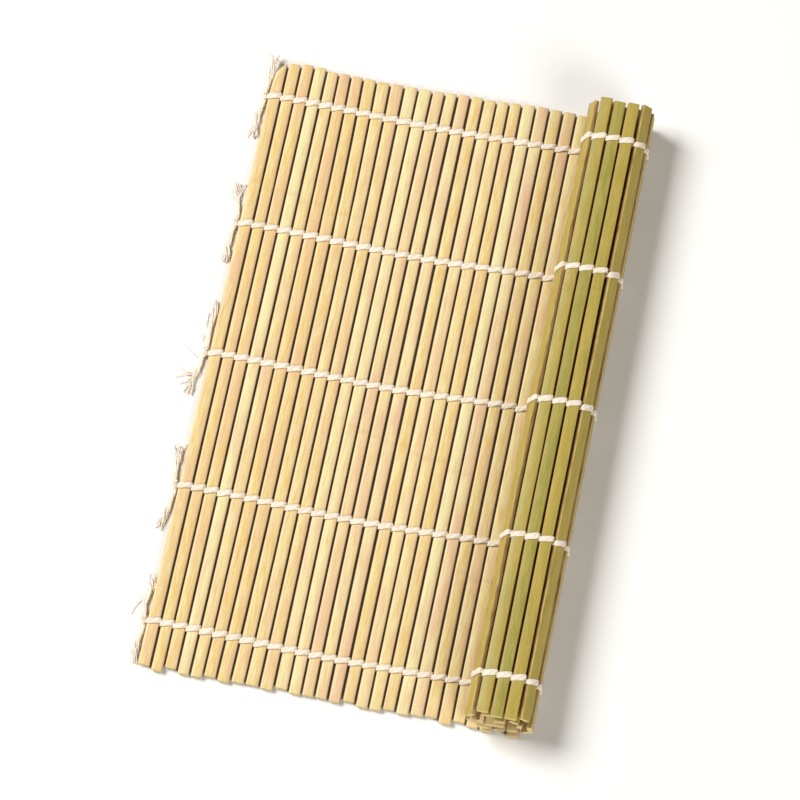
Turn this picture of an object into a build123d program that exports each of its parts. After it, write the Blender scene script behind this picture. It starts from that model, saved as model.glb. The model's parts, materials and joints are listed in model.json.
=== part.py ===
"""Sushi rolling mat: bamboo slats twined together with five rows of cotton, one end rolled up."""

import os
from math import atan2, cos, dist, floor, pi, radians, sin

from build123d import *

os.makedirs("parts", exist_ok=True)

# The mat as a whole
slat_count = 47
slat_pitch = 5.0
middle_first = 6  # slats 1 to 5 curl up at the free edge
middle_last = 27  # slats 28 to 47 are rolled up
row_count = 5
row_margin = 15.2  # from a slat's end to the outer row of twine

# Bamboo slats: a flat rind face below, slanted walls, a crowned natural face above
slat_length = 240.0
slat_thickness = 2.0
natural_width = 4.3
rind_width = 3.6
crown_rise = 0.45
end_slip = 0.7  # the slats' ends don't line up exactly
slip_turn = 137.5  # degrees from one slat's slip to the next
corner_cut_length = 13.0  # the curved trim on the first slat's corner
corner_cut_width = 3.7

# Cotton twine: one strand over each slat, one under it, crossing in every gap
strand_thickness = 0.6
strand_width = 1.3
strand_sway = 0.75  # sideways run of a strand from the row's middle to a crossing
crossing_depth = 0.3  # of the hinge line below the natural face
crossing_top = 0.05
crossing_bottom = 0.3
over_flat = 3.1  # length of a stitch's level top
over_inner = 2.6
under_flat = 4.3
under_inner = 3.7
cut_gap = 0.08  # from the hinge line to the twine of a slat that moves
face_gap = 0.04  # from a slat to the twine round it

# Knots and tails at the free edge, and knots in the core of the roll
knot_width = 1.7
knot_height = 1.9
knot_length = 4.0
knot_end_share = 0.5  # of the width and height, at the knot's two ends
knot_lift = 0.4
tail_radius = 0.55
tail_sides = 5
tail_lift = 0.6
tail_length = 20.0
tail_reach = 6.0  # of the furthest tail's end out from the free edge
tail_bow = 0.6
tail_gap = 0.3  # from a knot to its tails
tail_shares = [  # of the length and of the reach: each row's upper tail, then its lower one
    ((0.72, 0.12), (0.85, 0.4)),
    ((0.7, 0.3), (0.85, 0.35)),
    ((0.9, 0.15), (0.95, 1.0)),
    ((0.8, 0.3), (0.95, 0.5)),
    ((0.85, 0.25), (0.73, 0.35)),
]

# The roll: half turns of falling size round two centres, joined by short flats
bend_height = 9.25  # upright radius of the first half turn, to the hinge line
bend_reach = 9.86
roll_flat = 3.53
layer_rise = 3.9
bend_round_share = 0.54  # 1 is an ellipse, less is squarer
bend_lead = 1.67  # of the first bend before the first hinge that is turned
bend_share = 0.8
search_share = 0.002  # of a half turn, from one try for the next hinge to the next
search_halvings = 30

hinge_height = strand_thickness + slat_thickness - crossing_depth
natural_face = crossing_depth
rind_face = crossing_depth - slat_thickness
row_pitch = (slat_length - 2 * row_margin) / (row_count - 1)


def outline_point(place):
    """Point of the roll's hinge line, where each unit of place is a half turn and then a flat."""
    turn = floor(place)
    share = (place - turn) / bend_share
    side = 1 if turn % 2 == 0 else -1
    centre_x = 0 if side > 0 else -roll_flat
    centre_z = bend_height if side > 0 else bend_height + layer_rise / 2
    shrink = turn * layer_rise / 2
    angle = (min(share, 1) - 0.5) * pi
    out = abs(cos(angle)) ** bend_round_share * (bend_reach - shrink)
    up = abs(sin(angle)) ** bend_round_share * (bend_height - shrink)
    if angle < 0:
        up = -up
    run = max(share - 1, 0) * bend_share / (1 - bend_share) * roll_flat
    return (centre_x + side * (out - run), centre_z + side * up)


def next_hinge(place, here):
    """The place and point on the outline that lie one slat pitch on from a hinge."""
    while dist(outline_point(place), here) < slat_pitch:
        place += search_share
    low, high = place - search_share, place
    for _ in range(search_halvings):
        middle = (low + high) / 2
        if dist(outline_point(middle), here) < slat_pitch:
            low = middle
        else:
            high = middle
    return high, outline_point(high)


def hinge_points():
    """Every hinge line of the mat in side view, from the free edge to the core of the roll."""
    points = [(slat_pitch * k, 0.0) for k in range(middle_last + 1)]
    bend_start = slat_pitch * middle_last - bend_lead
    here, place = (bend_lead, 0.0), 0.0
    for _ in range(slat_count - middle_last):
        place, here = next_hinge(place, here)
        points.append((bend_start + here[0], here[1]))
    return points


def side_reach(points):
    """The furthest that the roll's twine stands out past the flat part, in side view."""
    reach = 0.0
    for (x1, z1), (x2, z2) in zip(points, points[1:]):
        lean = atan2(z2 - z1, x2 - x1)
        for end in (-1, 1):
            corner = (x1 + x2) / 2 + end * under_flat / 2 * cos(lean)
            reach = max(reach, corner + (strand_thickness - rind_face) * sin(lean))
    return reach


side_view = hinge_points()
free_reach = tail_reach + tail_radius
mat_shift = -(side_reach(side_view) - free_reach) / 2
hinges = [(x + mat_shift, z + hinge_height) for x, z in side_view]
headings = [atan2(b[1] - a[1], b[0] - a[0]) for a, b in zip(hinges, hinges[1:])]
rows = [slat_length / 2 - row_margin - row_pitch * r for r in range(row_count)]


def slat_plane(slat, y):
    """A slat's own section plane: x along the mat, y towards the natural face, its normal towards -Y."""
    (x1, z1), (x2, z2) = hinges[slat - 1], hinges[slat]
    lean = headings[slat - 1]
    return Plane(
        origin=((x1 + x2) / 2, y, (z1 + z2) / 2),
        x_dir=(cos(lean), 0, sin(lean)),
        z_dir=(0, -1, 0),
    )


def slip(slat):
    return end_slip * sin(radians(slip_turn) * slat)


# One slat, at its own plane
shoulder = natural_face - crown_rise
with BuildPart() as bamboo:
    with BuildSketch(Plane.XY):
        with BuildLine():
            Polyline(
                (-natural_width / 2, shoulder),
                (-rind_width / 2, rind_face),
                (rind_width / 2, rind_face),
                (natural_width / 2, shoulder),
            )
            ThreePointArc(
                (natural_width / 2, shoulder), (0, natural_face), (-natural_width / 2, shoulder)
            )
        make_face()
    extrude(amount=slat_length / 2, both=True)


def stitch(over, left_gap, right_gap):
    """One strand's run over or under one slat, from crossing to crossing, at the slat's own plane."""
    left, right = left_gap - slat_pitch / 2, slat_pitch / 2 - right_gap
    crown = natural_face + strand_thickness
    floor_line = rind_face - strand_thickness
    if over:
        outline = [
            (left, -crossing_top),
            (-over_flat / 2, crown),
            (over_flat / 2, crown),
            (right, -crossing_top),
            (right, -crossing_bottom),
            (over_inner / 2, natural_face + face_gap),
            (-over_inner / 2, natural_face + face_gap),
            (left, -crossing_bottom),
        ]
    else:
        outline = [
            (left, -crossing_top),
            (-under_inner / 2, rind_face - face_gap),
            (under_inner / 2, rind_face - face_gap),
            (right, -crossing_top),
            (right, -crossing_bottom),
            (under_flat / 2, floor_line),
            (-under_flat / 2, floor_line),
            (left, -crossing_bottom),
        ]
    sway = strand_sway if over else -strand_sway
    half, end = strand_width / 2, slat_pitch / 2
    with BuildPart(mode=Mode.PRIVATE) as run:
        with BuildSketch(Plane.XY):
            with BuildLine():
                Polyline(*outline, close=True)
            make_face()
        extrude(amount=strand_width + strand_sway, both=True)
        with BuildSketch(Plane.XZ):
            with BuildLine():
                Polyline(
                    (-end, sway - half),
                    (-end, sway + half),
                    (end, half - sway),
                    (end, -half - sway),
                    close=True,
                )
            make_face()
        extrude(amount=slat_pitch, both=True, mode=Mode.INTERSECT)
    return run.part


over_stitch = stitch(True, cut_gap, cut_gap)
under_stitch = stitch(False, cut_gap, cut_gap)

# The slats that lie flat on the table and never move against each other
with BuildPart() as middle_slats:
    with Locations(*[slat_plane(k, slip(k)).location for k in range(middle_first, middle_last + 1)]):
        add(bamboo.part)
middle_slats.part.label = "middle_slats"
export_step(middle_slats.part, "parts/middle_slats.step")

# The two strands of each row, unbroken across those slats
for row, y in enumerate(rows, 1):
    runs = []
    for k in range(middle_first, middle_last + 1):
        left_gap = cut_gap if k == middle_first else 0
        right_gap = cut_gap if k == middle_last else 0
        for over in (True, False):
            runs.append(stitch(over, left_gap, right_gap).moved(slat_plane(k, y).location))
    with BuildPart() as middle_lashing:
        add(runs)
    middle_lashing.part.label = f"middle_lashing_{row}"
    export_step(middle_lashing.part, f"parts/middle_lashing_{row}.step")

# Each slat that moves, with the twine that is lashed round it
for k in [*range(1, middle_first), *range(middle_last + 1, slat_count + 1)]:
    with BuildPart() as slat:
        with Locations(slat_plane(k, slip(k)).location):
            add(bamboo.part)
        if k == 1:
            left = hinges[0][0] + (slat_pitch - natural_width) / 2
            top = slat_length / 2 + slip(k)
            with BuildSketch(Plane.XY):
                with BuildLine():
                    Line((left - cut_gap, top - corner_cut_length), (left - cut_gap, top + end_slip))
                    Line((left - cut_gap, top + end_slip), (left + corner_cut_width, top + end_slip))
                    SagittaArc(
                        (left + corner_cut_width, top + end_slip),
                        (left - cut_gap, top - corner_cut_length),
                        -corner_cut_width / 4,
                    )
                make_face()
            extrude(amount=hinge_height + crossing_depth, mode=Mode.SUBTRACT)
    slat.part.label = f"slat_{k:02d}"
    export_step(slat.part, f"parts/slat_{k:02d}.step")

    with BuildPart() as lashing:
        with Locations(*[slat_plane(k, y).location for y in rows]):
            add(over_stitch)
            add(under_stitch)
    lashing.part.label = f"lashing_{k:02d}"
    export_step(lashing.part, f"parts/lashing_{k:02d}.step")

# A knot: a six-sided barrel that lies along the slats, at its own centre
with BuildPart() as knot:
    for place, share in ((-knot_length / 2, knot_end_share), (0, 1), (knot_length / 2, knot_end_share)):
        wide, high = share * knot_width / 2, share * knot_height / 2
        with BuildSketch(Plane.XZ.offset(place)):
            with BuildLine():
                Polyline(
                    (-wide, 0),
                    (-wide / 2, high),
                    (wide / 2, high),
                    (wide, 0),
                    (wide / 2, -high),
                    (-wide / 2, -high),
                    close=True,
                )
            make_face()
    loft(ruled=True)

# The five knots that close the rows at the free edge
knot_x = hinges[0][0] - knot_width / 2
knot_z = knot_lift + knot_height / 2
with BuildPart() as edge_knots:
    with Locations(*[(knot_x, y, knot_z) for y in rows]):
        add(knot.part)
edge_knots.part.label = "edge_knots"
export_step(edge_knots.part, "parts/edge_knots.step")

# Two tails of twine from each of those knots, one up and one down along the free edge
tails = []
for y, shares in zip(rows, tail_shares):
    for way, (length_share, reach_share) in zip((1, -1), shares):
        start = (knot_x, y + way * (knot_length / 2 + tail_gap), knot_z)
        far_x = hinges[0][0] - reach_share * tail_reach
        far = (far_x, y + way * length_share * tail_length, tail_lift)
        middle = ((start[0] + far[0]) / 2 - tail_bow / 2, (start[1] + far[1]) / 2, tail_lift)
        with BuildPart() as tail:
            with BuildLine() as route:
                ThreePointArc(start, middle, far)
            with BuildSketch(Plane(start, z_dir=route.line % 0)):
                RegularPolygon(tail_radius, tail_sides)
            sweep()
        tails.append(tail.part)
with BuildPart() as edge_tails:
    add(tails)
edge_tails.part.label = "edge_tails"
export_step(edge_tails.part, "parts/edge_tails.step")

# The five knots that close the rows after the last slat, in the core of the roll
core_x = slat_pitch / 2 + knot_width / 2
along_slats = (0, 1, 0)
with BuildPart() as core_knots:
    for y in rows:
        last_slat = slat_plane(slat_count, y)
        centre = last_slat.from_local_coords((core_x, -knot_height / 2, 0))
        with Locations(Plane(centre, last_slat.x_dir, along_slats).location):
            add(knot.part)
core_knots.part.label = "core_knots"
export_step(core_knots.part, "parts/core_knots.step")
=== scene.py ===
import json
import math
import random

import bmesh
import bpy
from mathutils import Matrix, Vector

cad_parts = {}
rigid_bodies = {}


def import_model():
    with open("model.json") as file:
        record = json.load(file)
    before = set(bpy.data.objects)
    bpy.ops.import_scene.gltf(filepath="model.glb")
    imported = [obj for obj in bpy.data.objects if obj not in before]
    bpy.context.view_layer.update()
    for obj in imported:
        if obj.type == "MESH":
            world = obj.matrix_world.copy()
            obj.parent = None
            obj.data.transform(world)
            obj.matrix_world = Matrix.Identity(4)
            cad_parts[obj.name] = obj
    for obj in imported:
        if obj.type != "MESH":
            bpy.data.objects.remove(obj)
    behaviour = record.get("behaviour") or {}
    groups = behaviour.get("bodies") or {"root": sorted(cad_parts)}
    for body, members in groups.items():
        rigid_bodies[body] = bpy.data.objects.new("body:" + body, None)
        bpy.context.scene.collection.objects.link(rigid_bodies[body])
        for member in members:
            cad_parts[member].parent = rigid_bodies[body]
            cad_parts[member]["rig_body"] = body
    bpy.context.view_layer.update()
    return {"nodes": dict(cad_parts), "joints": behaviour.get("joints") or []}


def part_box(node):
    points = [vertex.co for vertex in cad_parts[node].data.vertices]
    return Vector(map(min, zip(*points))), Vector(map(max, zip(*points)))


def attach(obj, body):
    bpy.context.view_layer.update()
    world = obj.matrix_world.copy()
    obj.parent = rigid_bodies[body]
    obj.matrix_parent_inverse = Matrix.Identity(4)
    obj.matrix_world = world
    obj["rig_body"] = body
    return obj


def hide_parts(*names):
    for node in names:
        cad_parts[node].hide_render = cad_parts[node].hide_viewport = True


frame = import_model()
nodes = frame["nodes"]
mm = 0.001


# Working in edit mode, as by hand


def deselect():
    if bpy.context.object and bpy.context.object.mode != "OBJECT":
        bpy.ops.object.mode_set(mode="OBJECT")
    for thing in bpy.context.selected_objects:
        thing.select_set(False)


def takeUp(thing):
    deselect()
    bpy.context.view_layer.objects.active = thing
    thing.select_set(True)


def editMesh(thing, kind):
    takeUp(thing)
    bpy.ops.object.mode_set(mode="EDIT")
    bpy.ops.mesh.select_mode(type=kind)


def leaveMesh():
    bpy.ops.object.mode_set(mode="OBJECT")


def pick(parts, wanted):
    # selects the verts, edges or faces that the test wants, and no others
    bpy.ops.mesh.select_all(action="DESELECT")
    shape = bmesh.from_edit_mesh(bpy.context.object.data)
    for part in getattr(shape, parts):
        if wanted(part):
            part.select_set(True)
    shape.select_flush_mode()
    bmesh.update_edit_mesh(bpy.context.object.data)


def cutAcross(places, axis):
    # cuts the whole mesh by planes square to an axis
    normal = [0, 0, 0]
    normal[axis] = 1
    for place in places:
        bpy.ops.mesh.select_all(action="SELECT")
        bpy.ops.mesh.bisect(plane_co=[place * way for way in normal], plane_no=normal)


def smooth(thing, degrees):
    takeUp(thing)
    bpy.ops.object.shade_smooth_by_angle(angle=math.radians(degrees))


def copyOf(thing, name, matrix):
    piece = bpy.data.objects.new(name, thing.data.copy())
    bpy.context.collection.objects.link(piece)
    piece.data.transform(matrix)
    return piece


def joined(things, name):
    deselect()
    for thing in things:
        thing.select_set(True)
    bpy.context.view_layer.objects.active = things[0]
    bpy.ops.object.join()
    things[0].name = name
    return things[0]


def ease(share):
    share = min(max(share, 0), 1)
    return share * share * (3 - 2 * share)


# Shader maths


class Wire:
    # one value in a material: sums on it add Math nodes
    def __init__(self, finish, socket):
        self.finish = finish
        self.socket = socket

    def sum(self, operation, first, second=None, third=None):
        values = [first, second, third]
        sockets = {place: value for place, value in enumerate(values) if value is not None}
        return self.finish.add("Math", {"operation": operation}, sockets)

    def __add__(self, other):
        return self.sum("ADD", self, other)

    def __radd__(self, other):
        return self.sum("ADD", other, self)

    def __sub__(self, other):
        return self.sum("SUBTRACT", self, other)

    def __rsub__(self, other):
        return self.sum("SUBTRACT", other, self)

    def __mul__(self, other):
        return self.sum("MULTIPLY", self, other)

    def __rmul__(self, other):
        return self.sum("MULTIPLY", other, self)

    def __truediv__(self, other):
        return self.sum("DIVIDE", self, other)

    def __pow__(self, other):
        return self.sum("POWER", self, other)

    def __abs__(self):
        return self.sum("ABSOLUTE", self)

    def sine(self):
        return self.sum("SINE", self)

    def rise(self, low, high):
        # 0 below low, 1 above high, and smooth between them
        sockets = {0: self, 1: low, 2: high}
        settings = {"interpolation_type": "SMOOTHSTEP"}
        return self.finish.add("MapRange", settings, sockets)


class Finish:
    # one material, made node by node
    def __init__(self, name):
        self.material = bpy.data.materials.new(name)
        self.material.use_nodes = True
        self.tree = self.material.node_tree
        self.shader = self.tree.nodes["Principled BSDF"]

    def add(self, kind, settings, sockets, output=0):
        node = self.tree.nodes.new("ShaderNode" + kind)
        for name, value in settings.items():
            setattr(node, name, value)
        for place, value in sockets.items():
            self.set(node.inputs[place], value)
        return Wire(self, node.outputs[output])

    def set(self, socket, value):
        if isinstance(value, Wire):
            self.tree.links.new(value.socket, socket)
        else:
            socket.default_value = value

    def attribute(self, name):
        return self.add("Attribute", {"attribute_name": name}, {}, "Vector")

    def split(self, vector):
        node = self.tree.nodes.new("ShaderNodeSeparateXYZ")
        self.set(node.inputs[0], vector)
        return [Wire(self, output) for output in node.outputs]

    def shift(self, vector, x, y, z):
        moved = self.add("CombineXYZ", {}, {0: x, 1: y, 2: z})
        return self.add("VectorMath", {"operation": "ADD"}, {0: vector, 1: moved})

    def stretch(self, vector, x, y, z):
        return self.add("VectorMath", {"operation": "MULTIPLY"}, {0: vector, 1: (x, y, z)})

    def noise(self, vector, scale, detail, roughness=0.5):
        sockets = {"Vector": vector, "Scale": scale, "Detail": detail, "Roughness": roughness}
        return self.add("TexNoise", {}, sockets)

    def mix(self, share, first, second, blend="MIX"):
        settings = {"data_type": "RGBA", "blend_type": blend, "clamp_factor": True}
        return self.add("Mix", settings, {0: share, 6: first, 7: second}, 2)

    def bump(self, height, distance, strength=1.0):
        sockets = {"Height": height, "Distance": distance, "Strength": strength}
        return self.add("Bump", {}, sockets)

    def shade(self, **values):
        names = {"color": "Base Color", "roughness": "Roughness", "normal": "Normal"}
        for name, value in values.items():
            self.set(self.shader.inputs[names[name]], value)

    def fix(self, name, value):
        self.shader.inputs[name].default_value = value


def paint(code):
    # a colour as #rrggbb, for a shader's socket
    parts = [int(code[place : place + 2], 16) / 255 for place in (1, 3, 5)]
    return [((part + 0.055) / 1.055) ** 2.4 if part > 0.04 else part / 12.92 for part in parts] + [1]


# Camera, light and floor

camera = {
    "place": (0.15994, -0.54930, 1.54747),  # beside the roll, above the near end of the slats
    "turn": (20.1074, 1.6614, 11.4505),  # degrees
    "lens": 202.75,
    "sensor": 36.0,
}
studio = {
    "sky": "#ffdcb4",
    "skyStrength": 0.08,
    "keyPlace": (-1.3, 0.3, 1.6),
    "keySize": 1.0,
    "keyPower": 50,
    "fillPlace": (1.4, -1.3, 1.2),
    "fillSize": 1.0,
    "fillPower": 28,
    "floorSide": 6.0,
    "floorColor": "#f6f5f3",
}


def makeCamera():
    data = bpy.data.cameras.new("photoCamera")
    data.lens = camera["lens"]
    data.sensor_width = camera["sensor"]
    data.clip_start = 0.05
    eye = bpy.data.objects.new("photoCamera", data)
    eye.location = camera["place"]
    eye.rotation_euler = [math.radians(turn) for turn in camera["turn"]]
    bpy.context.collection.objects.link(eye)
    bpy.context.scene.camera = eye


def makeLight(name, place, side, power):
    data = bpy.data.lights.new(name, "AREA")
    data.size = side
    data.energy = power
    lamp = bpy.data.objects.new(name, data)
    lamp.location = place
    lamp.rotation_euler = (-Vector(place)).to_track_quat("-Z", "Y").to_euler()
    bpy.context.collection.objects.link(lamp)


def makeStudio():
    world = bpy.data.worlds.new("studio")
    world.use_nodes = True
    bpy.context.scene.world = world
    back = world.node_tree.nodes["Background"]
    back.inputs["Color"].default_value = paint(studio["sky"])
    back.inputs["Strength"].default_value = studio["skyStrength"]
    makeLight("key", studio["keyPlace"], studio["keySize"], studio["keyPower"])
    makeLight("fill", studio["fillPlace"], studio["fillSize"], studio["fillPower"])
    deselect()
    bpy.ops.mesh.primitive_plane_add(size=studio["floorSide"])
    floor = bpy.context.object
    floor.name = "floor"
    finish = Finish("paleFloor")
    finish.shade(color=paint(studio["floorColor"]))
    finish.fix("Roughness", 0.9)
    floor.data.materials.append(finish.material)
    bpy.context.scene.view_settings.view_transform = "Standard"


makeCamera()
makeStudio()
print("camera, light and floor are up")


# Where the CAD says that each slat and each row of twine lies


class Slat:
    # one slat's place: its own x runs along the mat, y along the slat, z to the natural side
    def __init__(self, node, faces):
        up = -faces[0].normal
        along = Vector((0, 1, 0))
        across = along.cross(up).normalized()
        corners = [node.data.vertices[place].co for face in faces for place in face.vertices]
        low = Vector([min(corner[axis] for corner in corners) for axis in range(3)])
        high = Vector([max(corner[axis] for corner in corners) for axis in range(3)])
        self.middle = (low + high) / 2
        self.matrix = Matrix.Translation(self.middle) @ Matrix((across, along, up)).transposed().to_4x4()
        self.body = node["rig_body"]
        self.node = node.name


def rindFaces(node):
    # the rind side is the largest flat side of a slat
    sides = {}
    for face in node.data.polygons:
        if abs(face.normal.y) < 0.5:
            sides.setdefault(tuple(round(way, 2) for way in face.normal), []).append(face)
    return max(sides.values(), key=lambda faces: sum(face.area for face in faces))


def findSlats():
    slats = {}
    for name, node in nodes.items():
        if name.startswith("slat_"):
            slats[int(name[5:])] = Slat(node, rindFaces(node))
    middle = nodes["middle_slats"]
    faces = sorted(rindFaces(middle), key=lambda face: face.center.x)
    missing = [number for number in range(1, max(slats)) if number not in slats]
    each = len(faces) // len(missing)
    for place, number in enumerate(missing):
        slats[number] = Slat(middle, faces[place * each : (place + 1) * each])
    return dict(sorted(slats.items()))


slats = findSlats()
slatCount = len(slats)
rowNodes = sorted(name for name in nodes if name.startswith("middle_lashing_"))
rows = [sum(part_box(name), Vector()).y / 2 for name in rowNodes]
pitch = (slats[7].middle - slats[6].middle).length
plainSlat = slats[2]
plainLow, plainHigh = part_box(plainSlat.node)
slatSize = plainHigh - plainLow
hingeRise = min(joint["pos_m"][2] for joint in frame["joints"]) - plainLow.z
twineThick = plainLow.z  # the twine under the slats lies between them and the floor
print("found", slatCount, "slats", round(pitch / mm, 2), "mm apart and", len(rows), "rows")


# Bamboo slats

slatForm = {
    "rindShare": 0.84,  # of the width on the natural side
    "outerRind": 0.94,  # on the roll's outer turn
    "outerTurn": (28, 36),
    "shoulder": 0.6 * mm,  # rounding of the natural side's edges
    "rindEdge": 0.14 * mm,
    "endEdge": 0.16 * mm,
    "crown": 0.26 * mm,
    "rings": 34,
    "tipRings": 8,
}
slatWear = {
    "seed": 11,
    "sway": 0.11 * mm,  # a split slat is never quite straight
    "swell": 0.022,  # share of the width
    "bow": 0.05 * mm,
    "wider": 1.03,
    "widths": 0.02,
    "endSlip": 0.4 * mm,
    "endSlant": 0.02,
    "nodeSwell": 0.16 * mm,  # the culm's joint, a faint bulge
    "nodeReach": 2.6 * mm,
}
cutCorner = {
    "length": 13.0 * mm,
    "width": 3.9 * mm,
    "early": 0.18,  # of the width, taken off evenly, and the rest near the tip
    "power": 5,
}
# The slats aren't straight and lie as they were lashed, so neighbours bow together and gaps differ.
# Each group is its middle slat, its spread in slats and how far it reaches in mm, judged from the photo
lashedForm = {
    "drift": 0.22 * mm,  # of every gap, towards the roll
    "middleBows": ((1, 0.8, 0.35), (8, 2, 0.4), (13.5, 1, -0.35), (23.5, 1.5, 0.2)),
    "nearBows": ((1, 0.8, 0.25), (6, 2.4, -0.65), (11, 1.8, 0.5), (19, 1.2, -0.4), (23.5, 1.5, 0.3)),
    "farBows": ((7.3, 2.4, -1.05), (12.3, 1.4, 0.5), (19, 1.2, -0.5), (23.5, 1.5, 0.35)),
    "gap": 0.66 * mm,
    "gapWave": 0.06 * mm,
    "wideGaps": ((14.5, 1, 0.28),),
    "farEnds": ((3.2, 1.5, 1.35), (11, 2.6, -0.5), (21, 2.6, 0.5)),
    "lastFlat": 24,
    "fade": 4,  # slats, where the roll starts
}
rollGreen = {36: 0.3, 35: 0.45, 34: 0.8, 33: 0.3, 32: 0.3}  # on top of the roll, from left to right


def modelSlat():
    width, length, thick = slatSize
    deselect()
    bpy.ops.mesh.primitive_cube_add(size=1, location=(0, 0, thick / 2))
    slat = bpy.context.object
    slat.scale = (width, length, thick)
    bpy.ops.object.transform_apply(location=True, rotation=False, scale=True)
    editMesh(slat, "FACE")
    pick("faces", lambda face: face.normal.z < -0.9)
    bpy.ops.transform.resize(value=(slatForm["rindShare"], 1, 1))
    bpy.ops.mesh.select_mode(type="EDGE")

    def longEdge(edge, level):
        low, high = sorted(vert.co.y for vert in edge.verts)
        return high - low > length / 2 and all(abs(vert.co.z - level) < mm / 10 for vert in edge.verts)

    pick("edges", lambda edge: longEdge(edge, thick))
    bpy.ops.mesh.bevel(offset=slatForm["shoulder"], segments=4, profile=0.5, affect="EDGES")
    pick("edges", lambda edge: longEdge(edge, 0))
    bpy.ops.mesh.bevel(offset=slatForm["rindEdge"], segments=2, profile=0.5, affect="EDGES")
    pick("edges", lambda edge: abs(sum(vert.co.y for vert in edge.verts)) > length * 0.99)
    bpy.ops.mesh.bevel(offset=slatForm["endEdge"], segments=2, profile=0.5, affect="EDGES")
    half = length / 2 - 2 * slatForm["endEdge"]
    cutAcross([half * (2 * place / slatForm["rings"] - 1) for place in range(1, slatForm["rings"])], 1)
    step = cutCorner["length"] / slatForm["tipRings"]
    cutAcross([half - step * (place + 0.5) for place in range(slatForm["tipRings"])], 1)
    cutAcross([0], 0)
    leaveMesh()
    for vert in slat.data.vertices:
        share = 2 * vert.co.x / width
        vert.co.z -= slatForm["crown"] * share * share * ease(vert.co.z / thick * 2 - 1)
    return slat


def markFaces(mesh):
    # rind side, split walls, natural side and cut ends take their own material
    for face in mesh.polygons:
        if abs(face.normal.y) > 0.7:
            face.material_index = 3
        elif face.normal.z < -0.7:
            face.material_index = 0
        elif abs(face.normal.x) > 0.8:
            face.material_index = 1
        else:
            face.material_index = 2


def grouped(number, groups):
    return sum(mm * size * math.exp(-(((number - middle) / spread) ** 2)) for middle, spread, size in groups)


def gapShift(number, y):
    # how far the gap after a slat lies from its even place, fading out where the roll starts
    last = lashedForm["lastFlat"] - 1
    fade = max(1 - max(number - last, 0) / lashedForm["fade"], 0)
    number = min(number, last)
    middle = grouped(number, lashedForm["middleBows"])
    end = grouped(number, lashedForm["farBows"] if y > 0 else lashedForm["nearBows"])
    share = min(abs(2 * y / slatSize.y), 1) ** 3
    return (lashedForm["drift"] + middle + (end - middle) * share) * fade


def gapWide(number):
    number = min(number, lashedForm["lastFlat"] - 1)
    wave = lashedForm["gapWave"] * math.sin(2.1 * number)
    return lashedForm["gap"] + wave + grouped(number, lashedForm["wideGaps"])


def slatSpan(number, y):
    # a slat's middle, as lashed, and its width, at a place along it
    left = gapShift(number - 1, y) + gapWide(number - 1) / 2
    right = pitch + gapShift(number, y) - gapWide(number) / 2
    return (left + right - pitch) / 2, right - left


def culmJoint(number, chance):
    # slats split from one stem lie side by side, so their joints nearly line up
    spread = mm * chance.uniform(-1, 1)
    return slatSize.y * 0.3 * math.cos(1.8 * (number // 11)) - mm * (number % 11) + spread


def wearSlat(mesh, number, joint, chance):
    # sways, swells and slants one slat, and thickens it at its culm joint
    width, length, thick = slatSize
    phases = [chance.uniform(0, 2 * math.pi) for _ in range(4)]
    girth = slatWear["wider"] + slatWear["widths"] * chance.uniform(-1, 1)
    slant = slatWear["endSlant"] * chance.uniform(-1, 1)
    nearSlip, farSlip = [slatWear["endSlip"] * chance.uniform(-1, 1) for _ in range(2)]
    if number <= lashedForm["lastFlat"]:
        farSlip = farSlip / 2 + grouped(number, lashedForm["farEnds"]) - slats[number].middle.y
    bulge = slatWear["nodeSwell"] * chance.uniform(0.2, 1)
    inRoll = slats[number].middle.z > plainSlat.middle.z + thick / 4
    for vert in mesh.vertices:
        y = vert.co.y
        place = y / length * 2 * math.pi
        near = math.exp(-(((y - joint) / slatWear["nodeReach"]) ** 2))
        side = 2 * vert.co.x / width
        high = vert.co.z / thick
        if inRoll:
            swell = girth + slatWear["swell"] * math.sin(2.3 * place + phases[0])
            sway = slatWear["sway"] * (math.sin(place + phases[1]) + 0.45 * math.sin(2.9 * place + phases[2]))
        else:
            sway, wide = slatSpan(number, y)
            swell = wide / width
        if slatForm["outerTurn"][0] <= number <= slatForm["outerTurn"][1]:
            swell *= 1 + (slatForm["outerRind"] / slatForm["rindShare"] - 1) * (1 - high)
        vert.co.x = vert.co.x * swell + side * near * bulge + sway
        vert.co.z += slatWear["bow"] * math.sin(1.7 * place + phases[3]) * ease(2 * high - 1)
        end = 2 * y / length
        if abs(end) > 0.96:
            slip = farSlip if end > 0 else -nearSlip
            vert.co.y += slant * side * width / 2 + slip * ease((abs(end) - 0.96) / 0.03)


def trimCorner(mesh):
    # the first slat's corner is cut away in a curve, from the row of twine up to its tip
    width, length, _ = slatSize
    start = length / 2 - cutCorner["length"]
    early = cutCorner["early"]
    for vert in mesh.vertices:
        share = min((vert.co.y - start) / cutCorner["length"], 1)
        if share > 0:
            cut = cutCorner["width"] * (early * share + (1 - early) * share ** cutCorner["power"])
            vert.co.x = width / 2 - (width / 2 - vert.co.x) * (width - cut) / width


def tagSlat(mesh, number, joint, chance):
    # what the bamboo materials read: the place in the slat, how gold, how pink and how green it is, and how
    # much painted shade its split walls take
    names = ("inSlat", "slatTone", "grown", "paintedGapShade")
    for name in names:
        mesh.attributes.new(name, "FLOAT_VECTOR", "POINT")
    inSlat, slatTone, grown, paintedGapShade = [mesh.attributes[name] for name in names]
    tone = Vector((chance.betavariate(1.2, 1.4), chance.betavariate(1.2, 3), chance.uniform(0, 1)))
    green = rollGreen.get(number, chance.uniform(0, 1))
    for place, vert in enumerate(mesh.vertices):
        inSlat.data[place].vector = vert.co
        slatTone.data[place].vector = tone
        grown.data[place].vector = ((vert.co.y - joint), green, number)
        outer = (number == 1 and vert.co.x < 0) or (number == slatCount and vert.co.x > 0)
        # how much painted shade the split walls take: none on the mat's two outer walls, full up to slat 28
        # and fainter after
        paintedGapShade.data[place].vector = (0 if outer else 1 if number < 29 else 0.35, 0, 0)


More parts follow.
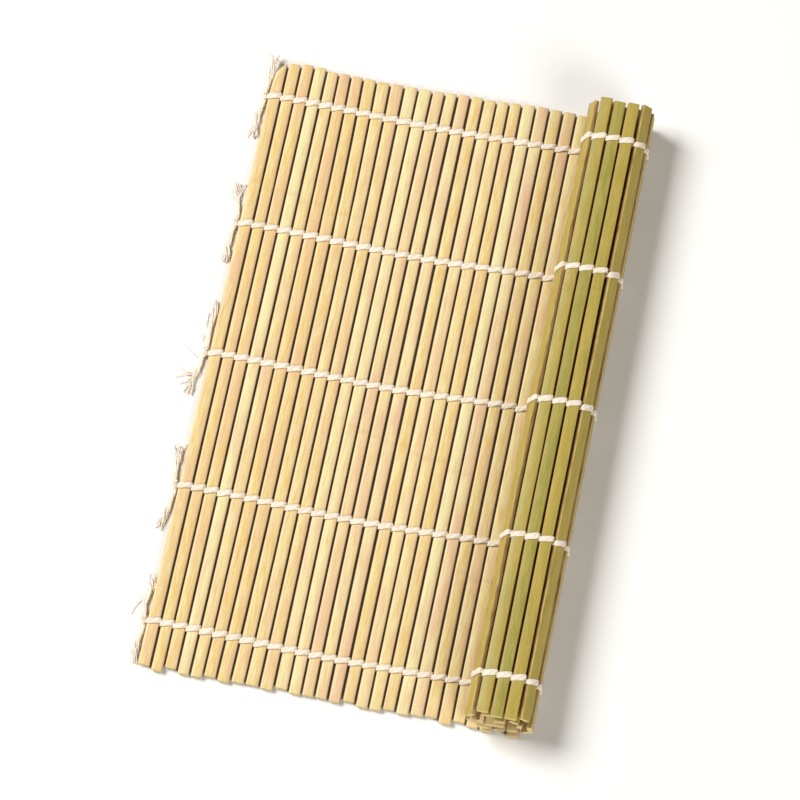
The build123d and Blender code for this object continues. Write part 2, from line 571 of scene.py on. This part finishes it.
def makeSlats():
    pattern = modelSlat()
    pieces = {}
    for number, slat in slats.items():
        chance = random.Random(slatWear["seed"] + number)
        piece = copyOf(pattern, f"bambooSlat{number:02d}", Matrix.Identity(4))
        joint = culmJoint(number, chance)
        tagSlat(piece.data, number, joint, chance)
        if number == 1:
            trimCorner(piece.data)
        wearSlat(piece.data, number, joint, chance)
        markFaces(piece.data)
        piece.data.transform(slat.matrix)
        smooth(piece, 35)
        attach(piece, slat.body)
        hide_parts(slat.node)
        pieces[number] = piece
    bpy.data.objects.remove(pattern)
    return pieces


slatPieces = makeSlats()
print("modelled", len(slatPieces), "slats")


# Bamboo, on its four kinds of face

bambooLook = {
    "pale": "#e7dda6",
    "gold": "#e0bb6a",
    # cream is only a painted highlight on the natural side's left edge; pink and fibre are bamboo tones, and
    # also painted shade on its right side and right edge
    "pink": "#dfb492",
    "cream": "#f1e6c2",
    "fibre": "#b98548",
    "rindYellow": "#b99f49",
    "rindGreen": "#8e8b3c",
    "rindPale": "#c8b76c",
    "wallPale": "#dcc47e",
    "wallTan": "#a8783c",
    # painted shade: the dark brown painted on split walls between slats, for the shade in the gaps
    "wallPaintedShade": "#3c1604",
    "endPale": "#ead692",
    "endDot": "#94683a",
}


def grain(finish):
    # fibres that run along the slat, broad and fine, and slow changes of tone
    place = finish.attribute("inSlat")
    gold, pink, seed = finish.split(finish.attribute("slatTone"))
    toJoint, green, number = finish.split(finish.attribute("grown"))
    own = finish.shift(place, seed * 0.37, number * 0.113, 0)
    broad = finish.noise(finish.stretch(own, 1, 0.08, 1), 1500, 3, 0.6)
    fine = finish.noise(finish.stretch(own, 1, 0.03, 1), 2900, 2)
    slow = finish.noise(finish.stretch(own, 1, 0.16, 1), 320, 2)
    return place, gold, pink, toJoint, green, broad, fine, slow


def naturalSide():
    finish = Finish("naturalSide")
    place, gold, pink, toJoint, green, broad, fine, slow = grain(finish)
    across = finish.split(place)[0]
    body = finish.mix(gold * 0.8 + (broad - 0.5) * 2.8, paint(bambooLook["pale"]), paint(bambooLook["gold"]))
    body = finish.mix(pink * 0.45 + (slow - 0.5) * 2.2, body, paint(bambooLook["pink"]))
    body = finish.mix(fine.rise(0.56, 0.75) * 0.3, body, paint(bambooLook["fibre"]))
    side = across / (slatSize.x / 2)
    # painted light, as if lit from the left: a painted highlight in cream along each slat's left edge,
    # painted shade in pink over its right side, and a painted shade line in fibre colour at its right edge
    body = finish.mix((0 - side).rise(0.45, 0.9) * 0.5, body, paint(bambooLook["cream"]))
    body = finish.mix(side.rise(0.1, 0.95) * 0.5, body, paint(bambooLook["pink"]))
    body = finish.mix(side.rise(0.82, 1.03) * 0.6, body, paint(bambooLook["fibre"]))
    scar = 1 - abs(toJoint).rise(0.2 * mm, 1.6 * mm)
    body = finish.mix(scar * 0.12, body, paint(bambooLook["fibre"]))
    finish.shade(
        color=body,
        roughness=0.52 + 0.2 * fine,
        normal=finish.bump(0.6 * broad + 0.4 * fine, 0.10 * mm),
    )
    finish.fix("Specular IOR Level", 0.35)
    return finish.material


def rindSide():
    finish = Finish("rindSide")
    place, gold, pink, toJoint, green, broad, fine, slow = grain(finish)
    greenness = green * 0.9 + (slow - 0.5) * 1.2
    body = finish.mix(greenness, paint(bambooLook["rindYellow"]), paint(bambooLook["rindGreen"]))
    body = finish.mix((broad - 0.4) * 1.4, body, paint(bambooLook["rindPale"]))
    body = finish.mix(fine.rise(0.55, 0.75) * 0.3, body, paint(bambooLook["rindGreen"]))
    scar = 1 - abs(toJoint).rise(0.2 * mm, 0.9 * mm)
    body = finish.mix(scar * 0.2, body, paint(bambooLook["wallTan"]))
    finish.shade(
        color=body,
        roughness=0.38 + 0.14 * broad,
        normal=finish.bump(0.7 * broad + 0.3 * fine, 0.03 * mm),
    )
    finish.fix("Specular IOR Level", 0.4)
    return finish.material


def splitWall():
    finish = Finish("splitWall")
    place, gold, pink, toJoint, green, broad, fine, slow = grain(finish)
    body = finish.mix(broad.rise(0.35, 0.7), paint(bambooLook["wallPale"]), paint(bambooLook["wallTan"]))
    body = finish.mix(fine.rise(0.5, 0.75) * 0.4, body, paint(bambooLook["fibre"]))
    # painted shade: between two slats the middle of each wall is painted dark brown for the shade in the
    # gaps, not at the wall's edges nor on the mat's outer edges, and fainter from slat 29 on
    high = finish.split(place)[2] / slatSize.z
    paintedShade = high.rise(0.05, 0.25) * (1 - high.rise(0.6, 0.85))
    body = finish.mix(paintedShade * finish.split(finish.attribute("paintedGapShade"))[0], body, paint(bambooLook["wallPaintedShade"]))
    finish.shade(
        color=body,
        roughness=0.6 + 0.2 * fine,
        normal=finish.bump(0.5 * broad + 0.5 * fine, 0.12 * mm),
    )
    return finish.material


def cutEnd():
    finish = Finish("cutEnd")
    place = finish.attribute("inSlat")
    sockets = {"Vector": place, "Scale": 2600.0, "Randomness": 0.8}
    dots = 1 - finish.add("TexVoronoi", {}, sockets).rise(0.12, 0.34)
    rough = finish.noise(place, 5200, 3)
    body = finish.mix(dots * 0.7, paint(bambooLook["endPale"]), paint(bambooLook["endDot"]))
    body = finish.mix(rough.rise(0.45, 0.75) * 0.3, body, paint(bambooLook["wallTan"]))
    finish.shade(color=body, roughness=0.75 + 0.15 * rough, normal=finish.bump(rough - dots * 0.5, 0.08 * mm))
    return finish.material


bambooSides = [rindSide(), splitWall(), naturalSide(), cutEnd()]
for piece in slatPieces.values():
    for material in bambooSides:
        piece.data.materials.append(material)
print("bamboo finished on its four sides")


# Twine lashed over and under every slat

stitchForm = {
    "sides": 8,
    "rings": 8,
    "reach": pitch / 2,
    "sway": 0.64 * mm,  # sideways, at each crossing
    "width": 2.3 * mm,
    "endWidth": 1.65 * mm,
    "thick": 0.78 * mm,
    "endThick": 0.6 * mm,
    "dip": 0.45 * mm,  # of the crossing below the hinge line
    "squareness": 3.2,
    "boxiness": 2.5,  # of the section: 2 is round
    "tilt": 5.0,  # degrees
    "uneven": 0.07,
}


def stitchPoint(share, over):
    # the twine's line over or under one slat, from crossing to crossing, and its slope
    low = hingeRise - stitchForm["dip"]
    top = slatSize.z + stitchForm["thick"] / 2 if over else -twineThick / 2
    power = 2 / stitchForm["squareness"]
    angle = share * math.pi / 2
    x = math.copysign(abs(math.sin(angle)) ** power, share) * stitchForm["reach"]
    z = low + (top - low) * max(math.cos(angle), 0) ** power
    way = 1 if over else -1
    return Vector((x, way * stitchForm["sway"] * x / stitchForm["reach"], z))


def modelStitch(over):
    deselect()
    bpy.ops.mesh.primitive_cylinder_add(
        vertices=stitchForm["sides"], radius=1, depth=2, rotation=(0, math.pi / 2, 0)
    )
    stitch = bpy.context.object
    bpy.ops.object.transform_apply(location=False, rotation=True, scale=False)
    editMesh(stitch, "FACE")
    cutAcross([2 * ring / stitchForm["rings"] - 1 for ring in range(1, stitchForm["rings"])], 0)
    leaveMesh()
    out = 1 if over else -1
    for vert in stitch.data.vertices:
        share = max(min(vert.co.x, 1), -1)
        nearer = max(abs(share) - 0.02, 0)
        here = stitchPoint(share, over)
        before = stitchPoint(math.copysign(nearer, share), over)
        after = stitchPoint(math.copysign(min(nearer + 0.04, 1), share), over)
        run = (after - before) * math.copysign(1, share)
        run.y = 0
        run.normalize()
        up = Vector((-run.z, 0, run.x)) * out
        end = ease((abs(share) - 0.35) / 0.65)
        width = stitchForm["width"] * (1 - end) + stitchForm["endWidth"] * end
        thick = stitchForm["thick"] * (1 - end) + stitchForm["endThick"] * end
        if not over:
            thick *= twineThick / stitchForm["thick"]
        angle = math.atan2(vert.co.z, vert.co.y)
        power = 2 / stitchForm["boxiness"]
        side = math.copysign(abs(math.cos(angle)) ** power, math.cos(angle))
        rise = math.copysign(abs(math.sin(angle)) ** power, math.sin(angle))
        vert.co = here + Vector((0, side * width / 2, 0)) + up * (rise * out * thick / 2)
    if not over:
        editMesh(stitch, "FACE")
        bpy.ops.mesh.select_all(action="SELECT")
        bpy.ops.mesh.normals_make_consistent(inside=False)
        leaveMesh()
    smooth(stitch, 60)
    return stitch


rowForm = {
    # each row starts towards the far end, runs level and swells before the roll, the middle rows most
    "start": 1.8 * mm,
    "startRun": 14,  # slats
    "swell": 1.5 * mm,
    "swellAt": 23,
    "swellRun": 5,
    "outerShare": 0.3,
}


def rowWander(row, number):
    # the rows aren't quite straight
    side = rows[row] / rows[0]
    swell = rowForm["swell"] * (1 - (1 - rowForm["outerShare"]) * side * side)
    swell *= math.exp(-(((number - rowForm["swellAt"]) / rowForm["swellRun"]) ** 2))
    return rowForm["start"] * ease(1 - (number - 1) / rowForm["startRun"]) + swell


def lash(pattern, slat, number, row, chance):
    uneven = stitchForm["uneven"]
    y = rows[row] + rowWander(row, number) - slat.middle.y
    turn = math.radians(stitchForm["tilt"]) * chance.uniform(-1, 1)
    left, right = gapShift(number - 1, y + slat.middle.y), gapShift(number, y + slat.middle.y)
    size = Matrix.Diagonal(((pitch + right - left) / pitch, 1 + uneven * chance.uniform(-1, 1), 1, 1))
    own = Matrix.Translation(((left + right) / 2, y, 0)) @ Matrix.Rotation(turn * 0.6, 4, "Z") @ size
    return copyOf(pattern, "stitch", slat.matrix @ own)


def makeTwine(material):
    patterns = [modelStitch(True), modelStitch(False)]
    chance = random.Random(5)
    groups = {}
    for number, slat in slats.items():
        for row in range(len(rows)):
            for pattern in patterns:
                stitch = lash(pattern, slat, number, row, chance)
                if slat.node == "middle_slats":
                    key = (rowNodes[row], slat.body, f"twineRow{row + 1}")
                else:
                    key = (f"lashing_{number:02d}", slat.body, f"twineSlat{number:02d}")
                groups.setdefault(key, []).append(stitch)
    for (node, body, name), stitches in groups.items():
        piece = joined(stitches, name)
        for vert in piece.data.vertices:
            vert.co.z = max(vert.co.z, 0)
        piece.data.materials.append(material)
        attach(piece, body)
        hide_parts(node)
    for pattern in patterns:
        bpy.data.objects.remove(pattern)
    return len(groups)


twineLook = {
    "cream": "#f7ecdb",
    # shade: a darker cream, for the twine's uneven tone and for painted shade in the grooves between the
    # plies
    "shade": "#dcc8a8",
    "turns": 3.0,  # of the two plies in one stitch
    "plyDepth": 0.16 * mm,
    "fuzz": 0.05 * mm,
}
looseLook = {
    "cream": "#faeedf",
    # shade: as for the twine, its uneven tone and painted shade between the plies
    "shade": "#ead7be",
    "turns": 2.0,
    "plyDepth": 0.05 * mm,
    "fuzz": 0.04 * mm,
}


def cottonTwine(name, look):
    finish = Finish(name)
    around, along, _ = finish.split(finish.add("UVMap", {}, {}))
    place = finish.add("TexCoord", {}, {}, "Object")
    turn = (around * 2 + along * (2 * look["turns"])) * (2 * math.pi)
    ply = 0.5 + 0.5 * turn.sine()
    fuzz = finish.noise(place, 5200, 3, 0.6)
    tone = finish.noise(place, 420, 2)
    body = finish.mix(tone.rise(0.4, 0.75) * 0.5, paint(look["cream"]), paint(look["shade"]))
    # painted shade in the grooves between the two plies
    body = finish.mix((1 - ply).rise(0.72, 1.0) * 0.45, body, paint(look["shade"]))
    height = ply**0.6 * look["plyDepth"] + fuzz * look["fuzz"]
    finish.shade(color=body, roughness=0.82 + 0.1 * fuzz, normal=finish.bump(height, 1.0))
    finish.fix("Sheen Weight", 0.25)
    return finish.material


twine = cottonTwine("cottonTwine", twineLook)
looseTwine = cottonTwine("looseCotton", looseLook)
print("lashed", makeTwine(twine), "pieces of twine")

# Knots at both ends of each row, and the loose ends of twine at the free edge

strandForm = {
    "sides": 6,
    "rings": 14,
    "knotRings": 36,
    "hairSides": 4,
    "hairRings": 7,
}
knotForm = {
    "wide": 1.15 * mm,  # half sizes
    "long": 2.1 * mm,
    "high": 0.8 * mm,
    "thick": 0.46 * mm,
}


def modelStrand(sides, rings):
    # a straight strand, from x = 0 to x = 1, to be laid along a line
    deselect()
    bpy.ops.mesh.primitive_cylinder_add(
        vertices=sides, radius=1, depth=1, location=(0.5, 0, 0), rotation=(0, math.pi / 2, 0)
    )
    strand = bpy.context.object
    bpy.ops.object.transform_apply(location=True, rotation=True, scale=False)
    editMesh(strand, "FACE")
    cutAcross([ring / rings for ring in range(1, rings)], 0)
    leaveMesh()
    smooth(strand, 60)
    return strand


def onRoute(points, share):
    # a smooth curve through the points
    place = min(max(share, 0), 1) * (len(points) - 1)
    first = min(int(place), len(points) - 2)
    share = place - first
    before, here, there, after = [
        points[min(max(first + step, 0), len(points) - 1)] for step in (-1, 0, 1, 2)
    ]
    curve = 2 * here + (there - before) * share
    curve += (2 * before - 5 * here + 4 * there - after) * share**2
    curve += (3 * here - before - 3 * there + after) * share**3
    return curve / 2


def layStrand(pattern, line, radius, lay):
    # line and radius give the place and the half thickness at each share of the length
    piece = copyOf(pattern, "strand", Matrix.Identity(4))
    side = Vector((0, 0, 1))
    rings = {}
    for share in sorted({round(vert.co.x, 3) for vert in piece.data.vertices}):
        run = (line(min(share + 0.01, 1)) - line(max(share - 0.01, 0))).normalized()
        side = (side - run * side.dot(run)).normalized()
        rings[share] = (line(share), side, run.cross(side))
    for vert in piece.data.vertices:
        share = round(vert.co.x, 3)
        here, side, up = rings[share]
        thick = radius(share)
        vert.co = here + side * (vert.co.y * thick) + up * (vert.co.z * thick)
    for corner in piece.data.uv_layers.active.data:
        corner.uv.y *= lay
    return piece


def overhand(share):
    # the path of a knot that is pulled tight
    turn = 2 * math.pi * (0.02 + 0.96 * share)
    wide, long, high = knotForm["wide"], knotForm["long"], knotForm["high"]
    return Vector((
        (math.sin(turn) + 2 * math.sin(2 * turn)) / 3 * (wide - knotForm["thick"]),
        (math.cos(turn) - 2 * math.cos(2 * turn)) / 3 * (long - knotForm["thick"]),
        -math.sin(3 * turn) * (high - knotForm["thick"] / 2),
    ))


def tieKnot(pattern, matrix):
    knot = layStrand(pattern, overhand, lambda share: knotForm["thick"], 4.0)
    knot.data.transform(matrix)
    return knot


def makeKnots(material):
    pattern = modelStrand(strandForm["sides"], strandForm["knotRings"])
    first, last = slats[1], slats[slatCount]
    for name, slat, side, node in (
        ("edgeKnot", first, -1, "edge_knots"),
        ("coreKnot", last, 1, "core_knots"),
    ):
        number = 1 if side < 0 else slatCount
        knots = []
        for row in range(len(rows)):
            y = rows[row] + rowWander(row, number) - slat.middle.y
            x = side * (pitch / 2 + knotForm["wide"] * 0.55)
            place = Matrix.Translation((x, y, slatSize.z * 0.62))
            knots.append(tieKnot(pattern, slat.matrix @ place))
        piece = joined(knots, name + "s")
        piece.data.materials.append(material)
        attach(piece, slat.body)
        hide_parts(node)
    bpy.data.objects.remove(pattern)


looseEnds = {
    # for each row, routes from its knot in mm: across the mat, along the slats and up
    # a route of yarns is a thick end that opens, and a route of hairs is a stray fibre
    1: {
        "yarns": [
            [(0, 0.5, 1.3), (-0.2, 2.7, 1.3), (0, 6, 1.5), (0.5, 9.9, 2.5), (0.9, 13.8, 2.9),
             (0.6, 16.6, 2.9)],
            [(-0.1, -0.4, 1.3), (-0.3, -2.7, 1.1), (-0.7, -5.7, 0.9), (-1.1, -8.3, 0.8), (-1.1, -13.3, 0.7),
             (-0.7, -18, 0.7)],
        ],
        "hairs": [
            [(-1.2, -9, 0.8), (-2.2, -12.2, 0.6), (-3.1, -15.9, 0.3)],
            [(-1.2, -12, 0.8), (-2.4, -15, 0.6), (-3.2, -17.9, 0.3)],
            [(0.3, 7.3, 1.7), (1.4, 10.4, 2.6), (2.1, 12.8, 2.8), (1.7, 16.6, 2.7)],
        ],
    },
    2: {
        "yarns": [
            [(0, 0.4, 1.3), (-0.2, 3.5, 1.1), (-0.8, 6.5, 0.9), (-1.6, 9.4, 0.8), (-2.5, 12.4, 0.7),
             (-3.3, 15.9, 0.6)],
            [(-0.3, -0.9, 1.3), (-1, -3.6, 1.1), (-1, -6.7, 0.9), (-0.9, -9.8, 0.8),
             (-0.8, -12.9, 0.7), (-0.6, -16.2, 0.6)],
        ],
        "hairs": [
            [(-0.8, 6.5, 1.0), (-0.9, 10.4, 1.0), (-0.3, 13.5, 0.7), (0.4, 16.2, 0.4)],
            [(-0.9, 8, 1.0), (-1.1, 10.4, 0.9), (-1.0, 13.2, 0.6), (-0.5, 15.6, 0.4)],
        ],
    },
    3: {
        "yarns": [
            [(-0.3, 1.4, 1.3), (-0.4, 4.4, 1.2), (-0.6, 9, 1.0), (-0.4, 13.6, 0.9), (-0.3, 16.7, 0.9),
             (-0.5, 21, 0.8)],
            [(-0.7, -0.2, 1.3), (-1.2, -2.2, 1.1), (-1.4, -5.3, 0.9), (-1.8, -7.8, 0.8), (-2.3, -10.9, 0.7),
             (-2.6, -17.6, 0.6)],
        ],
        "hairs": [
            [(-0.5, 2.2, 1.6), (-2.6, 4.6, 1.5), (-3.2, 6, 1.5), (-2.7, 7, 1.4), (-1.6, 6, 1.5),
             (-0.9, 4, 1.6)],
            [(-1.2, 8.4, 1.2), (-2.4, 11, 0.9), (-2.6, 13.2, 0.7), (-2.3, 15.7, 0.5)],
            [(-1.2, -2.4, 1.2), (-4, -1.6, 0.9), (-6, -0.3, 0.6), (-8, 1.6, 0.3)],
            [(-1.8, -8.6, 1.0), (-5.7, -8.5, 0.7), (-8.9, -7, 0.3)],
            [(-1.9, -9.2, 1.0), (-6.2, -10, 0.7), (-9.1, -11.4, 0.3)],
            [(-2.1, -10.2, 1.0), (-4, -13.7, 0.6), (-5.1, -16.5, 0.3)],
            [(-3.2, -9.4, 0.9), (-6.6, -9.3, 0.5), (-8.8, -8.2, 0.3)],
            [(-2.1, -9.8, 1.0), (-4.6, -11.8, 0.7), (-7.1, -13.7, 0.3)],
        ],
    },
    4: {
        "yarns": [
            [(-0.3, 0.4, 1.3), (-1.1, 3.6, 1.2), (-1.2, 6.5, 1.0), (-1.3, 9.5, 0.9), (-1.3, 12.5, 0.8),
             (-1.8, 15.4, 0.7)],
            [(0.2, -0.9, 1.3), (-0.2, -4.3, 1.1), (-0.6, -7.1, 0.9), (-1.1, -10.3, 0.8), (-1.8, -13.4, 0.7),
             (-2.8, -17.9, 0.6)],
        ],
        "hairs": [
            [(-1.5, 10.4, 1.0), (-1.7, 11.3, 1.0), (-3, 13.4, 0.7), (-4, 15.3, 0.4)],
            [(-1.2, 10.4, 1.0), (-0.9, 11.7, 1.0), (0, 14.3, 0.7), (0.6, 16.3, 0.5)],
            [(0.1, -6.7, 1.0), (-0.1, -10, 0.8), (-0.6, -13.7, 0.6), (-1.2, -16.8, 0.4)],
        ],
    },
    5: {
        "yarns": [
            [(-0.3, 0.4, 1.3), (-0.6, 3, 1.2), (-1.2, 5.3, 1.1), (-1.1, 7.7, 1.0), (-0.5, 10.1, 0.9),
             (0.1, 12.3, 0.9),
             (0.2, 14.1, 0.8), (-0.6, 18, 0.7)],
            [(0.2, -1.4, 1.3), (0, -3.9, 1.1), (-0.4, -6.4, 0.9), (-0.6, -9.4, 0.8), (-0.6, -12, 0.7),
             (-0.3, -16.6, 0.6)],
        ],
        "hairs": [
            [(0.2, 12, 1.0), (2.2, 12.5, 2.3), (3.8, 12.4, 2.5), (5.8, 11.9, 2.1)],
            [(-1.6, 8.6, 1.0), (-2.3, 8.1, 0.9), (-3.8, 6.2, 0.6), (-4.7, 3.7, 0.4), (-5.2, 1.4, 0.3)],
            [(-0.8, 2.9, 1.1), (-1.9, 6.3, 1.0), (-1.5, 9.6, 0.9), (-0.6, 12.1, 0.9), (0, 14, 0.8)],
        ],
    },
}
yarnForm = {
    "count": 7,
    "thick": 0.46 * mm,
    "endThick": 0.26 * mm,
    "open": 0.6 * mm,  # from the route's line to a yarn's
    "endOpen": 1.4 * mm,
    "turns": 0.9,
    "tips": 6,
    "tipThick": 0.10 * mm,
    "hairThick": 0.22 * mm,
    "floor": 0.12 * mm,
}


def yarnLine(route, phase, reach, rest):
    # one yarn of a loose end, which turns about the others and opens away from them
    def line(share):
        middle = onRoute(route, share * reach)
        ahead = onRoute(route, min(share * reach + 0.05, 1)) - onRoute(route, share * reach - 0.05)
        side = ahead.cross(Vector((0, 0, 1))).normalized()
        open = yarnForm["open"] + (yarnForm["endOpen"] * rest - yarnForm["open"]) * ease(share) ** 1.4
        turn = phase + 2 * math.pi * yarnForm["turns"] * share
        place = middle + side * (math.cos(turn) * open) + Vector((0, 0, math.sin(turn) * open * 0.45))
        place.z = max(place.z, yarnForm["floor"] + yarnForm["thick"] * (1 - share * 0.5))
        return place

    return line


def makeLooseEnds(material):
    yarn = modelStrand(strandForm["sides"], strandForm["rings"])
    hair = modelStrand(strandForm["hairSides"], strandForm["hairRings"])
    chance = random.Random(23)
    slat = slats[1]
    left = slat.middle.x - pitch / 2 - knotForm["wide"] * 0.55
    for row, ends in looseEnds.items():
        start = Vector((left, rows[row - 1] + rowWander(row - 1, 1), 0))
        strands = []
        for points in ends["yarns"]:
            route = [start + Vector(point) * mm for point in points]
            for place in range(yarnForm["count"]):
                phase = 2 * math.pi * (place + chance.uniform(-0.3, 0.3)) / yarnForm["count"]
                line = yarnLine(route, phase, chance.uniform(0.86, 1), chance.uniform(0.3, 1))
                strands.append(layStrand(
                    yarn,
                    line,
                    lambda share: yarnForm["thick"]
                    + (yarnForm["endThick"] - yarnForm["thick"]) * ease(share),
                    5.0,
                ))
            for place in range(yarnForm["tips"]):
                phase = 2 * math.pi * chance.random()
                line = yarnLine(route, phase, 1, chance.uniform(0.7, 1.7))
                strands.append(layStrand(
                    hair,
                    lambda share, line=line: line(0.55 + share * 0.45),
                    lambda share: yarnForm["tipThick"] * (1 - 0.6 * share),
                    1.0,
                ))
        for points in ends["hairs"]:
            route = [start + Vector(point) * mm for point in points]
            strands.append(layStrand(
                yarn,
                lambda share, route=route: onRoute(route, share),
                lambda share: yarnForm["hairThick"] * (1 - 0.3 * share),
                2.0,
            ))
        piece = joined(strands, f"looseEnds{row}")
        piece.data.materials.append(material)
        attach(piece, slat.body)
        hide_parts("edge_tails")
    bpy.data.objects.remove(yarn)
    bpy.data.objects.remove(hair)


makeKnots(twine)
makeLooseEnds(looseTwine)
print("tied the knots and laid the loose ends")
